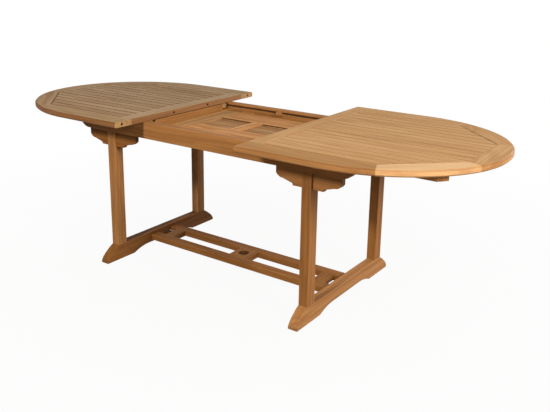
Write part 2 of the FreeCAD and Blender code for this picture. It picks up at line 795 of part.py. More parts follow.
def build_leaf_battens(leaf, up, levels):
    """The battens under a leaf half: one with a finger groove at the hinge edge, and two more."""
    window = (border_in + s.front_batten, leaf_back - s.hinge_batten)
    near = levels[0] if up > 0 else levels[1]
    grip = level_span(up, near, near + up * s.finger_groove_height)
    hinge_board = box(f"{leaf}_hinge_board", (-header_in, header_in), (window[1], leaf_back), levels)
    groove = box(f"{leaf}_finger_groove", (-header_in, header_in),
                 (window[1] - s.overrun, window[1] + s.finger_groove_depth), grip)
    boards = [cut(f"{leaf}_hinge_batten", hinge_board, [groove]),
              box(f"{leaf}_front_batten", (-header_in, header_in), (border_in, window[0]), levels),
              box(f"{leaf}_centre_batten", (-s.centre_batten / 2, s.centre_batten / 2), window, levels)]
    keep(f"{leaf}_battens", group(f"{leaf}_batten_set", boards))


def build_hinges(leaf, up, show):
    """The hinge plates of one leaf half with their knuckles, on the edge of its last slat."""
    hinges = []
    near = show + up * s.hinge_knuckle_radius
    far = show + up * (s.leaf_slat_thick - s.hinge_play)
    bore_radius = s.hinge_pin_radius + s.hinge_pin_play if up > 0 else s.hinge_pin_radius
    third = s.hinge_length / 3
    for i, centre in enumerate((-s.hinge_place, s.hinge_place), start=1):
        tag = f"{leaf}_hinge_{i}"
        start = centre - s.hinge_length / 2
        end = centre + s.hinge_length / 2
        middle = (start + third + s.hinge_play, end - third - s.hinge_play)
        spans = [middle] if up > 0 else [(start, start + third), (end - third, end)]
        parts = [box(f"{tag}_plate", (start, end), (plate_in, plate_out), level_span(up, near, far))]
        for k, span in enumerate(spans, start=1):
            parts.append(box(f"{tag}_tab_{k}", span, (plate_in, plate_out), level_span(up, fold_level, far)))
            parts.append(rod(f"{tag}_knuckle_{k}", "X", span, s.hinge_knuckle_radius,
                             y=hinge_line, z=fold_level))
        bore = rod(f"{tag}_bore", "X", (start - s.overrun, end + s.overrun), bore_radius,
                   y=hinge_line, z=fold_level)
        hinges.append(cut(f"{tag}_piece", fuse(f"{tag}_whole", parts), [bore]))
    keep(f"{leaf}_hinges", group(f"{leaf}_hinge_set", hinges))


def build_hinge_pins():
    """The pins through the leaf hinges' knuckles."""
    pins = []
    for i, centre in enumerate((-s.hinge_place, s.hinge_place), start=1):
        span = (centre - s.hinge_length / 2, centre + s.hinge_length / 2)
        pins.append(rod(f"hinge_pin_{i}", "X", span, s.hinge_pin_radius, y=hinge_line, z=fold_level))
    return keep("hinge_pins", group("hinge_pin_set", pins))


# Assembly
foot_tenons = {}
for end_name, end_sign in SIDES_X:
    foot_tenons[end_name] = []
    for row_name, row_sign in SIDES_Y:
        bracket_piece = build_bracket(f"{row_name}_{end_name}_bracket", end_sign, row_sign)
        foot_tenons[end_name].append(
            build_post(f"{row_name}_{end_name}_post", end_sign, row_sign, bracket_piece))
joined_pieces = []
for end_name, end_sign in SIDES_X:
    well_near = split + s.well_rail_margin
    well = side_span(end_sign, well_near, well_near + s.well_rail_width)
    trestle = (end_sign * post_x - s.post_width / 2, end_sign * post_x + s.post_width / 2)
    joined_pieces.append(build_rail(f"{end_name}_well_rail", well, rail_top - s.well_rail_height, True))
    joined_pieces.append(build_rail(f"{end_name}_trestle_rail", trestle, apron_low, False))
    joined_pieces.append(build_bearer(f"{end_name}_leaf_bearer", end_sign))
for row_name, row_sign in SIDES_Y:
    build_apron(f"{row_name}_apron", row_sign, joined_pieces)
build_stops()
long_bolts = build_stretcher()
for end_name, end_sign in SIDES_X:
    build_foot(f"{end_name}_foot", end_sign, foot_tenons[end_name] + long_bolts)
build_half("left", True)
build_half("right", False)
build_leaf_half("lower_leaf", -1)
build_leaf_half("upper_leaf", 1)
build_hinge_pins()

# Checks and export
doc.recompute()
failed = [item.Name for item in doc.Objects if {"Invalid", "Error"} & set(item.State)]
empty = [name for name, item in nodes.items() if item.Shape.isNull() or not item.Shape.isValid()]
if failed or empty:
    raise RuntimeError(f"failed features {failed}, bad shapes {empty}")
os.makedirs("parts", exist_ok=True)
for name, item in nodes.items():
    item.Shape.exportStep(f"parts/{name}.step")
    print(f"{name}: {len(item.Shape.Solids)} solids, {item.Shape.Volume:.0f} mm3")
print(f"{len(nodes)} sub-parts")
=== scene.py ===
"""Looks of an extending oval garden table in oiled hardwood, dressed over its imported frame."""
import json
import logging
import math
import random
from dataclasses import dataclass, replace
from enum import Enum
from typing import Callable, Iterable, Sequence

import bmesh
import bpy
from mathutils import Matrix, Vector

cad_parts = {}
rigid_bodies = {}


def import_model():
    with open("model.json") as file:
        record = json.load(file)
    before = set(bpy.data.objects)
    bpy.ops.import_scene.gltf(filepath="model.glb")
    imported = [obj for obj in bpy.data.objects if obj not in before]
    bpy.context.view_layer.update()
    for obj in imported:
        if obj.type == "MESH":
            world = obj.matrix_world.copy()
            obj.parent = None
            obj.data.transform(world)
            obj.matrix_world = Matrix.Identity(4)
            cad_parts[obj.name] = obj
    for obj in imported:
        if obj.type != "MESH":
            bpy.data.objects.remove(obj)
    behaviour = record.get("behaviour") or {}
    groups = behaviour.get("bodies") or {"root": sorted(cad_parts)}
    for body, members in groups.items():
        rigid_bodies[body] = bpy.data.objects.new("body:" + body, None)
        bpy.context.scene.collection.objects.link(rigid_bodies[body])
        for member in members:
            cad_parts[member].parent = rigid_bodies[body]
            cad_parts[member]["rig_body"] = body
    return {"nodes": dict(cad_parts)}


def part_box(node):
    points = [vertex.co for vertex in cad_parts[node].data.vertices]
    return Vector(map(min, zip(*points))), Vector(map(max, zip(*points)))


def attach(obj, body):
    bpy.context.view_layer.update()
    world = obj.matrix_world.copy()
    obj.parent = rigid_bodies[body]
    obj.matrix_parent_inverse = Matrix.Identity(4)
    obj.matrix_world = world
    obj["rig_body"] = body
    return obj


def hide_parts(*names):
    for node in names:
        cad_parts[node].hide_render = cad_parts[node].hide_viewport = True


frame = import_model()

log = logging.getLogger("table")
Colour = tuple[float, float, float]
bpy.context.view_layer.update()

# Distances in metres and angles that tell the edges and faces of a board apart
MERGE_DISTANCE = 0.00002
CUT_DISTANCE = 0.00001
FLAT_ANGLE = math.radians(0.4)
CORNER_ANGLE = math.radians(32)
SHARP_ANGLE = math.radians(50)
SEAM_FACING = 0.6
END_FACING = 0.9

# How the grain of one board differs from that of the next
GRAIN_TURN_DEGREES = 1.6
GRAIN_SHIFT = 20

# Planed hardwood
RING_COUNT = 46.0
STREAK_SHARE = 0.55
BROAD_SHARE = 0.3
PORE_SHARE = 0.4
PORE_COLOUR = (0.10, 0.055, 0.025, 1)
TONE_HUE = 0.012
TONE_FADE = 0.2
EVEN_HUE = 0.5
TIMBER_ROUGH = 0.54
TIMBER_ROUGH_SPREAD = 0.14
GRAIN_DEPTH = 0.0006
# painted shade on slanting faces, which keeps chamfers from catching too much light
SLANT_PAINTED_SHADE = (0.72, 0.68, 0.64, 1)
# painted shade: the near-black laid over the walls of holes, grooves and open seams
HOLLOW_SHADE_COLOUR = (0.012, 0.006, 0.003, 1)

# Dull metal
METAL_ROUGH = 0.32
METAL_ROUGH_SPREAD = 0.25

# Radii of the painted shade in hollows, a little wider than the bores themselves
DOWEL_BORE_RADIUS = 0.0058
POLE_BORE_RADIUS = 0.0262
POLE_BORE_SHADE = 0.72


class Grain(Enum):
    """Which way the grain of a board runs."""

    LONGEST = "along the longest side of each board"
    RISING = "from front left to back right"
    FALLING = "from back left to front right"

    def direction(self, size: Vector) -> Vector:
        """Gives the grain's direction.

        Args:
            size: The extent of the board along the three axes.

        Returns:
            A unit vector along the grain.
        """
        if self is Grain.RISING:
            return Vector((1, 1, 0)).normalized()
        if self is Grain.FALLING:
            return Vector((1, -1, 0)).normalized()
        longest = max(range(3), key=lambda axis: size[axis])
        return Vector([1.0 if axis == longest else 0.0 for axis in range(3)])


class Metal(Enum):
    """The metals of the table's fittings."""

    ZINC = "dull_zinc"
    BRASS = "dull_brass"


class NodeTree:
    """A short hand for adding and linking the nodes of one tree."""

    def __init__(self, tree: bpy.types.NodeTree) -> None:
        """Keeps the tree that the nodes go into."""
        self.tree = tree

    def add(self, kind: str, inputs: dict | None = None, **settings: object) -> bpy.types.Node:
        """Adds a node.

        Args:
            kind: The node's type name without its ShaderNode prefix.
            inputs: A value or an output socket for each named or numbered input.
            settings: The node's own properties.

        Returns:
            The new node.
        """
        node = self.tree.nodes.new(kind if kind.startswith("NodeGroup") else f"ShaderNode{kind}")
        for name, value in settings.items():
            setattr(node, name, value)
        for key, value in (inputs or {}).items():
            if isinstance(value, bpy.types.NodeSocket):
                self.tree.links.new(value, node.inputs[key])
            else:
                node.inputs[key].default_value = value
        return node

    def math(self, operation: str, *values: object) -> bpy.types.NodeSocket:
        """Adds a sum of one, two or three values and gives its result."""
        return self.add("Math", dict(enumerate(values)), operation=operation).outputs[0]

    def mix(self, factor: object, first: object, second: object, blend: str = "MIX"
            ) -> bpy.types.NodeSocket:
        """Adds a mix of two colours and gives its result."""
        node = self.add("Mix", {0: factor, 6: first, 7: second}, data_type="RGBA", blend_type=blend)
        return node.outputs[2]

    def noise(self, vector: object, scale: Sequence[float], detail: float, rough: float = 0.5,
              distortion: float = 0.0) -> bpy.types.NodeSocket:
        """Adds noise stretched by a scale for each axis and gives its value.

        Args:
            vector: The coordinates that the noise is read at.
            scale: The number of features per metre along each axis.
            detail: How many finer layers the noise has.
            rough: How strong the finer layers are.
            distortion: How far the noise is pulled about.

        Returns:
            The socket of the noise's value.
        """
        mapping = self.add("Mapping", {"Vector": vector, "Scale": scale})
        texture = self.add("TexNoise", {"Vector": mapping.outputs[0], "Scale": 1.0, "Detail": detail,
                                        "Roughness": rough, "Distortion": distortion})
        return texture.outputs["Fac"]

    def ramp(self, value: object, low: float, high: float) -> bpy.types.NodeSocket:
        """Adds a smooth step from low to high and gives its value."""
        node = self.add("MapRange", {"Value": value, "From Min": low, "From Max": high},
                        interpolation_type="SMOOTHSTEP")
        return node.outputs[0]


def start_group(name: str, inputs: Sequence[tuple[str, str]], outputs: Sequence[tuple[str, str]]
                ) -> tuple[NodeTree, bpy.types.Node, bpy.types.Node]:
    """Starts a shader node group.

    Args:
        name: The group's name.
        inputs: The name and kind of each input socket.
        outputs: The name and kind of each output socket.

    Returns:
        The group's tree, its input node and its output node.
    """
    tree = bpy.data.node_groups.new(name, "ShaderNodeTree")
    for direction, sockets in (("INPUT", inputs), ("OUTPUT", outputs)):
        for label, kind in sockets:
            tree.interface.new_socket(label, in_out=direction, socket_type=f"NodeSocket{kind}")
    nodes = NodeTree(tree)
    return nodes, nodes.add("NodeGroupInput"), nodes.add("NodeGroupOutput")


def timber_figure() -> bpy.types.NodeTree:
    """Builds the figure of planed hardwood: growth bands, streaks and short open pores.

    Returns:
        The node group.
    """
    nodes, given, result = start_group(
        "Timber Figure",
        [("Grain", "Vector"), ("Tone", "Float"), ("Light", "Color"), ("Dark", "Color"), ("Bands", "Float")],
        [("Color", "Color"), ("Rough", "Float"), ("Height", "Float")])
    grain = given.outputs["Grain"]
    tone = given.outputs["Tone"]
    wander = nodes.noise(grain, scale=(0.8, 9, 9), detail=3, rough=0.55, distortion=0.5)
    rings = nodes.math("SINE", nodes.math("MULTIPLY", wander, RING_COUNT))
    rings = nodes.math("MULTIPLY_ADD", rings, 0.5, 0.5)
    streaks = nodes.noise(grain, scale=(1.6, 75, 75), detail=5, rough=0.62)
    broad = nodes.ramp(nodes.noise(grain, scale=(0.5, 5, 5), detail=2), low=0.3, high=0.72)
    pores = nodes.ramp(nodes.noise(grain, scale=(26, 520, 520), detail=2, rough=0.6), low=0.6, high=0.74)
    banding = nodes.math("MULTIPLY", nodes.ramp(rings, low=0.1, high=1.0), given.outputs["Bands"])
    streaking = nodes.math("MULTIPLY", nodes.ramp(streaks, low=0.33, high=0.68), STREAK_SHARE)
    figure = nodes.math("ADD", banding, streaking)
    figure = nodes.math("ADD", figure, nodes.math("MULTIPLY", broad, BROAD_SHARE))
    depth = nodes.ramp(figure, low=0.05, high=1.05)
    colour = nodes.mix(depth, given.outputs["Light"], given.outputs["Dark"])
    colour = nodes.mix(nodes.math("MULTIPLY", pores, PORE_SHARE), colour, PORE_COLOUR)
    fade = nodes.math("MULTIPLY", tone, TONE_FADE)
    toned = nodes.add("HueSaturation", {"Hue": nodes.math("MULTIPLY_ADD", tone, TONE_HUE, EVEN_HUE),
                                        "Saturation": nodes.math("SUBTRACT", 1.0, fade),
                                        "Value": nodes.math("ADD", 1.0, tone),
                                        "Color": colour})
    height = nodes.math("SUBTRACT", nodes.math("MULTIPLY", streaks, 0.5), pores)
    rough = nodes.math("ADD", TIMBER_ROUGH, nodes.math("MULTIPLY", figure, TIMBER_ROUGH_SPREAD))
    for label, socket in (("Color", toned.outputs[0]), ("Rough", rough), ("Height", height)):
        nodes.tree.links.new(socket, result.inputs[label])
    return nodes.tree


def edge_wear() -> bpy.types.NodeTree:
    """Builds the paler, rubbed look of eased edges.

    Returns:
        The node group.
    """
    nodes, given, result = start_group(
        "Edge Wear", [("Color", "Color"), ("Edge", "Float"), ("Grain", "Vector"), ("Worn", "Color")],
        [("Color", "Color")])
    patches = nodes.noise(given.outputs["Grain"], scale=(9, 30, 30), detail=3)
    rubbed = nodes.math("MULTIPLY_ADD", nodes.ramp(patches, low=0.35, high=0.65), 0.25, 0.05)
    mask = nodes.math("MULTIPLY", rubbed, given.outputs["Edge"])
    worn = nodes.mix(mask, given.outputs["Color"], given.outputs["Worn"])
    nodes.tree.links.new(worn, result.inputs["Color"])
    return nodes.tree


def weather_film() -> bpy.types.NodeTree:
    """Builds the skin that sun and rain bleach on faces that look up, a painted grey sheen where the film
    is strong, and painted shade on slanting faces.

    Returns:
        The node group.
    """
    nodes, given, result = start_group(
        "Weather Film", [("Color", "Color"), ("Place", "Vector"), ("Amount", "Float"), ("Film", "Color")],
        [("Color", "Color")])
    colour, weather = given.outputs["Color"], given.outputs["Amount"]
    facing = nodes.add("SeparateXYZ", {0: nodes.add("NewGeometry").outputs["Normal"]}).outputs[2]
    clouds = nodes.noise(given.outputs["Place"], scale=(3.2, 5.5, 3.2), detail=4, rough=0.6)
    patchy = nodes.math("MULTIPLY_ADD", nodes.ramp(clouds, low=0.3, high=0.7), 0.2, 0.8)
    lift = nodes.math("MULTIPLY", nodes.ramp(facing, low=0.75, high=0.99), patchy)
    amount = nodes.math("MULTIPLY", lift, weather)
    bleached = nodes.mix(1.0, colour, given.outputs["Film"], "MULTIPLY")
    # painted shade on slanting faces such as chamfers
    rising = nodes.ramp(facing, low=0.25, high=0.5)
    slant = nodes.math("MULTIPLY", rising, nodes.ramp(facing, low=0.95, high=0.8))
    shaded = nodes.mix(1.0, colour, SLANT_PAINTED_SHADE, "MULTIPLY")
    slant_shaded = nodes.mix(nodes.math("MULTIPLY", slant, weather), colour, shaded)
    nodes.tree.links.new(nodes.mix(amount, slant_shaded, bleached), result.inputs["Color"])
    return nodes.tree


def metal_scuffs() -> bpy.types.NodeTree:
    """Builds the scuffed, slightly tarnished skin of a plated or rolled metal.

    Returns:
        The node group.
    """
    nodes, given, result = start_group(
        "Metal Scuffs", [("Place", "Vector"), ("Clean", "Color"), ("Tarnish", "Color")],
        [("Color", "Color"), ("Rough", "Float"), ("Height", "Float")])
    place = given.outputs["Place"]
    spots = nodes.noise(place, scale=(160, 160, 160), detail=4, rough=0.65)
    spots = nodes.ramp(spots, low=0.42, high=0.62)
    lines = nodes.noise(place, scale=(90, 1400, 1400), detail=2)
    colour = nodes.mix(spots, given.outputs["Clean"], given.outputs["Tarnish"])
    rough = nodes.math("ADD", METAL_ROUGH, nodes.math("MULTIPLY", spots, METAL_ROUGH_SPREAD))
    for label, socket in (("Color", colour), ("Rough", rough), ("Height", lines)):
        nodes.tree.links.new(socket, result.inputs[label])
    return nodes.tree


FIGURE = timber_figure()
WEAR = edge_wear()
FILM = weather_film()
SCUFFS = metal_scuffs()


@dataclass(frozen=True)
class TimberFinish:
    """Oiled hardwood in one range of tones."""

    name: str
    light: Colour
    dark: Colour
    worn: Colour
    film: Colour = (1.0, 1.0, 1.0)
    end: Colour = (1.15, 1.36, 1.5)
    bands: float = 0.5
    weather: float = 0.0
    bump: float = 0.18
    gloss: float = 0.18

    def build(self) -> bpy.types.Material:
        """Builds the material.

        Returns:
            A material that reads the grain, tone and edge marks of a dressed board.
        """
        material = bpy.data.materials.new(self.name)
        material.use_nodes = True
        material.node_tree.nodes.clear()
        nodes = NodeTree(material.node_tree)
        grain = nodes.add("Attribute", attribute_name="grain").outputs["Vector"]
        tone = nodes.add("Attribute", attribute_name="tone").outputs["Fac"]
        edge = nodes.add("Attribute", attribute_name="eased").outputs["Fac"]
        # the dark attribute is the painted shade of hollows and open seams
        dark = nodes.add("Attribute", attribute_name="dark").outputs["Fac"]
        end = nodes.add("Attribute", attribute_name="end").outputs["Fac"]
        figure = nodes.add("Group", node_tree=FIGURE)
        for label, value in (("Grain", grain), ("Tone", tone)):
            nodes.tree.links.new(value, figure.inputs[label])
        figure.inputs["Light"].default_value = (*self.light, 1)
        figure.inputs["Dark"].default_value = (*self.dark, 1)
        figure.inputs["Bands"].default_value = self.bands
        wear = nodes.add("Group", node_tree=WEAR)
        for label, value in (("Color", figure.outputs["Color"]), ("Edge", edge), ("Grain", grain)):
            nodes.tree.links.new(value, wear.inputs[label])
        wear.inputs["Worn"].default_value = (*self.worn, 1)
        film = nodes.add("Group", node_tree=FILM)
        place = nodes.add("TexCoord").outputs["Object"]
        for label, value in (("Color", wear.outputs["Color"]), ("Place", place)):
            nodes.tree.links.new(value, film.inputs[label])
        film.inputs["Amount"].default_value = self.weather
        film.inputs["Film"].default_value = (*self.film, 1)
        bump = nodes.add("Bump", {"Height": figure.outputs["Height"], "Strength": self.bump,
                                  "Distance": GRAIN_DEPTH})
        colour = nodes.mix(end, film.outputs["Color"], (*self.end, 1), "MULTIPLY")
        # painted shade laid over hollows and open seams
        colour = nodes.mix(dark, colour, HOLLOW_SHADE_COLOUR)
        shader = nodes.add("BsdfPrincipled", {"Base Color": colour,
                                              "Roughness": figure.outputs["Rough"],
                                              "Normal": bump.outputs[0], "Specular IOR Level": self.gloss})
        nodes.add("OutputMaterial", {"Surface": shader.outputs[0]})
        return material


@dataclass(frozen=True)
class MetalFinish:
    """A dull metal of the fittings."""

    metal: Metal
    clean: Colour
    tarnish: Colour
    bump: float = 0.15
    line_depth: float = 0.0002

    def build(self) -> bpy.types.Material:
        """Builds the material.

        Returns:
            A scuffed metal that reads object coordinates.
        """
        material = bpy.data.materials.new(self.metal.value)
        material.use_nodes = True
        material.node_tree.nodes.clear()
        nodes = NodeTree(material.node_tree)
        scuffs = nodes.add("Group", node_tree=SCUFFS)
        nodes.tree.links.new(nodes.add("TexCoord").outputs["Object"], scuffs.inputs["Place"])
        scuffs.inputs["Clean"].default_value = (*self.clean, 1)
        scuffs.inputs["Tarnish"].default_value = (*self.tarnish, 1)
        bump = nodes.add("Bump", {"Height": scuffs.outputs["Height"], "Strength": self.bump,
                                  "Distance": self.line_depth})
        shader = nodes.add("BsdfPrincipled", {"Base Color": scuffs.outputs["Color"], "Metallic": 1.0,
                                              "Roughness": scuffs.outputs["Rough"],
                                              "Normal": bump.outputs[0]})
        nodes.add("OutputMaterial", {"Surface": shader.outputs[0]})
        return material


BASE_TIMBER = TimberFinish("base_timber_oiled", (0.342, 0.148, 0.042), (0.238, 0.095, 0.0245),
                           (0.40, 0.19, 0.065), end=(0.78, 0.84, 0.86), bands=0.3)
# shaded copy of the top's timber: darker for painted shade, its strong up-facing film a painted grey sheen
# over weathering
LEFT_SHADED_TIMBER = TimberFinish("left_top_timber_oiled_shaded", (0.222, 0.092, 0.0262), (0.162, 0.063, 0.0168),
                           (0.248, 0.107, 0.0336), film=(1.569, 2.387, 3.9), end=(1.9, 2.6, 3.6),
                           bands=0.35, weather=1.0)
# lit copy of the same top's timber, lighter for painted light
RIGHT_LIT_TIMBER = TimberFinish("right_top_timber_oiled_lit", (0.480, 0.237, 0.083), (0.378, 0.171, 0.056),
                            (0.54, 0.27, 0.10), film=(1.06, 1.23, 1.42), bands=0.35, weather=1.0)
LEAF_TIMBER = TimberFinish("leaf_timber_oiled", (0.52, 0.245, 0.080), (0.32, 0.130, 0.038),
                           (0.52, 0.27, 0.11))
# greyer copy of the leaf timber: painted shade for the leaf slats deep in the well; the leaf headers share
# it
SLAT_TIMBER = TimberFinish("leaf_slat_timber_greyed_shade", (0.45, 0.245, 0.098), (0.29, 0.142, 0.050),
                           (0.46, 0.27, 0.12))
DOWEL_TIMBER = TimberFinish("dowel_timber_plain", (0.62, 0.42, 0.22), (0.50, 0.31, 0.15),
                            (0.62, 0.44, 0.25), bands=0.25)
ZINC = MetalFinish(Metal.ZINC, (0.62, 0.62, 0.60), (0.42, 0.41, 0.39))
BRASS = MetalFinish(Metal.BRASS, (0.72, 0.52, 0.24), (0.45, 0.30, 0.13))
FINISHES = {finish.name: finish.build()
            for finish in (BASE_TIMBER, LEFT_SHADED_TIMBER, RIGHT_LIT_TIMBER, LEAF_TIMBER, SLAT_TIMBER, DOWEL_TIMBER)}
METALS = {finish.metal: finish.build() for finish in (ZINC, BRASS)}


def new_piece(name: str, mesh: bmesh.types.BMesh, material: bpy.types.Material, body: str
              ) -> bpy.types.Object:
    """Makes an object of a finished mesh and lets it ride on a body.

    Args:
        name: The piece's name.
        mesh: The mesh in the table's frame, which is freed.
        material: The piece's material.
        body: The body that it moves with.

    Returns:
        The object.
    """
    data = bpy.data.meshes.new(name)
    mesh.to_mesh(data)
    mesh.free()
    data.materials.append(material)
    piece = bpy.data.objects.new(name, data)
    bpy.context.scene.collection.objects.link(piece)
    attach(piece, body)
    log.info("%s rides on %s", name, body)
    return piece


def islands(mesh: bmesh.types.BMesh) -> list[list[bmesh.types.BMVert]]:
    """Finds the separate boards of a mesh.

    Args:
        mesh: The mesh to look through.

    Returns:
        The vertices of each board.
    """
    found = []
    left = set(mesh.verts)
    while left:
        board = [left.pop()]
        for vertex in board:
            for edge in vertex.link_edges:
                other = edge.other_vert(vertex)
                if other in left:
                    left.remove(other)
                    board.append(other)
        found.append(sorted(board, key=lambda vertex: vertex.index))
    return sorted(found, key=lambda board: board[0].index)


@dataclass(frozen=True)
class Bore:
    """A hole whose wall gets painted shade."""

    place: Vector
    axis: Vector
    radius: float
    # strength of the painted shade on the hole's wall
    dark: float = 1.0

    def holds(self, face: bmesh.types.BMFace) -> bool:
        """Tells if a face belongs to the hole's wall or floor."""
        return all((vertex.co - self.place).cross(self.axis).length < self.radius
                   for vertex in face.verts)


@dataclass(frozen=True)
class Trough:
    """A groove or slot, inside a box, whose walls get painted shade."""

    low: Vector
    high: Vector
    # strength of the painted shade on the groove's walls
    dark: float = 0.75

    def holds(self, face: bmesh.types.BMFace) -> bool:
        """Tells if a face belongs to the groove's walls or floor."""
        return all(self.low[axis] <= vertex.co[axis] <= self.high[axis]
                   for vertex in face.verts for axis in range(3))


@dataclass(frozen=True)
class Joinery:
    """The way that a sub-assembly's boards are dressed."""

    finish: TimberFinish
    slot: str
    ease: float = 0.0009
    spread: float = 0.10
    hollows: tuple[Bore | Trough, ...] = ()
    seam_shade: float = 0.9

    def dress(self, node: str, grain: Grain = Grain.LONGEST, tone: float = 0.0,
              seams: Sequence[Vector] = (), carve: Callable[[bmesh.types.BMesh], None] | None = None
              ) -> bpy.types.Object:
        """Stands an eased copy of a board, or of a row of boards, in for its node.

        Args:
            node: The node that the copy is made from and stands for.
            grain: The way that the grain runs.
            tone: How much lighter the board is than the finish.
            seams: The ways that its walls along open seams look, which get painted shade.
            carve: What shapes the copy further before its edges are eased.

        Returns:
            The dressed piece.
        """
        source = frame["nodes"][node]
        mesh = bmesh.new()
        mesh.from_mesh(source.data)
        bmesh.ops.remove_doubles(mesh, verts=mesh.verts, dist=MERGE_DISTANCE)
        bmesh.ops.dissolve_limit(mesh, angle_limit=FLAT_ANGLE, verts=mesh.verts, edges=mesh.edges)
        if carve:
            carve(mesh)
        edge_layer = mesh.faces.layers.float.new("eased")
        corners = [edge for edge in mesh.edges
                   if edge.is_manifold and edge.calc_face_angle(0.0) > CORNER_ANGLE]
        eased = bmesh.ops.bevel(mesh, geom=corners, offset=self.ease, offset_type="OFFSET", segments=2,
                                profile=0.5, affect="EDGES", clamp_overlap=True, material=-1)["faces"]
        for face in eased:
            face[edge_layer] = 1.0
        bmesh.ops.dissolve_degenerate(mesh, dist=MERGE_DISTANCE, edges=mesh.edges)
        for face in mesh.faces:
            face.smooth = True
        self.paint_hollow_shade(mesh, seams)
        self.mark_grain(mesh, node, grain, tone)
        material = FINISHES[self.finish.name]
        piece = new_piece(f"{node}_timber", mesh, material, source["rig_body"])
        piece.data.set_sharp_from_angle(angle=SHARP_ANGLE)
        level = piece.modifiers.new("flat_faces", "WEIGHTED_NORMAL")
        level.keep_sharp = True
        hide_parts(node)
        return piece

    def paint_hollow_shade(self, mesh: bmesh.types.BMesh, seams: Sequence[Vector]) -> None:
        """Paints shade on the walls of holes and of open seams.

        Args:
            mesh: The mesh of a board.
            seams: The ways that walls along open seams look.
        """
        # the dark attribute carries painted shade
        shade_layer = mesh.faces.layers.float.new("dark")
        for face in mesh.faces:
            if any(face.normal.dot(way) > SEAM_FACING for way in seams):
                face[shade_layer] = self.seam_shade
            for hollow in self.hollows:
                if hollow.holds(face):
                    face[shade_layer] = hollow.dark

    def mark_grain(self, mesh: bmesh.types.BMesh, node: str, grain: Grain, tone: float) -> None:
        """Marks each board of a mesh with its own grain coordinates, tone and end grain.

        Args:
            mesh: The mesh to mark.
            node: The node's name, which seeds the differences between its boards.
            grain: The way that the grain runs.
            tone: How much lighter the boards are than the finish.
        """
        mesh.verts.index_update()
        grain_layer = mesh.verts.layers.float_vector.new("grain")
        tone_layer = mesh.verts.layers.float.new("tone")
        end_layer = mesh.faces.layers.float.new("end")
        chance = random.Random(node)
        for board in islands(mesh):
            low = Vector([min(vertex.co[axis] for vertex in board) for axis in range(3)])
            high = Vector([max(vertex.co[axis] for vertex in board) for axis in range(3)])
            along = grain.direction(high - low)
            turn = along.rotation_difference(Vector((1, 0, 0))).to_matrix()
            slew = math.radians(chance.uniform(-GRAIN_TURN_DEGREES, GRAIN_TURN_DEGREES))
            turn = Matrix.Rotation(slew, 3, "Z") @ turn
            shift = Vector([chance.uniform(0, GRAIN_SHIFT) for axis in range(3)])
            own_tone = tone + chance.uniform(-self.spread, self.spread)
            for vertex in board:
                vertex[grain_layer] = turn @ (vertex.co - (low + high) / 2) + shift
                vertex[tone_layer] = own_tone
                for face in vertex.link_faces:
                    face[end_layer] = float(abs(face.normal.dot(along)) > END_FACING)


@dataclass(frozen=True)
class Screw:
    """A countersunk wood screw's head with a cross recess."""

    radius: float = 0.0042
    proud: float = 0.0005
    recess: float = 0.0011
    sides: int = 12
    tips: int = 4
    depth_share: float = 4.0
    neck_share: float = 0.7
    cross_share: float = 0.35
    waist_share: float = 0.42
    wall: float = 0.00005

    def add(self, mesh: bmesh.types.BMesh, place: Vector, facing: Vector) -> None:
        """Adds one head to a mesh.

        Args:
            mesh: The mesh that the head goes into.
            place: The middle of the head on the board's face.
            facing: The way that the head looks.
        """
        turn = Vector((0, 0, 1)).rotation_difference(facing).to_matrix().to_4x4()
        depth = self.proud * self.depth_share
        made = bmesh.ops.create_cone(mesh, cap_ends=True, segments=self.sides,
                                     radius1=self.radius * self.neck_share, radius2=self.radius,
                                     depth=depth,
                                     matrix=Matrix.Translation((0, 0, self.proud - depth / 2)))["verts"]
        head = max({face for vertex in made for face in vertex.link_faces},
                   key=lambda face: face.calc_center_median().z)
        bmesh.ops.inset_individual(mesh, faces=[head], thickness=self.radius * self.cross_share, depth=0.0)
        cross = list(head.verts)
        for i, vertex in enumerate(cross):
            if i % (self.sides // self.tips):
                vertex.co.xy *= self.waist_share
        inner = bmesh.ops.inset_individual(mesh, faces=[head], thickness=self.wall, depth=-self.recess)
        rim = {vertex for face in inner["faces"] for vertex in face.verts}
        every = list(set(made) | set(cross) | set(head.verts) | rim)
        bmesh.ops.transform(mesh, matrix=Matrix.Translation(place) @ turn, verts=every)


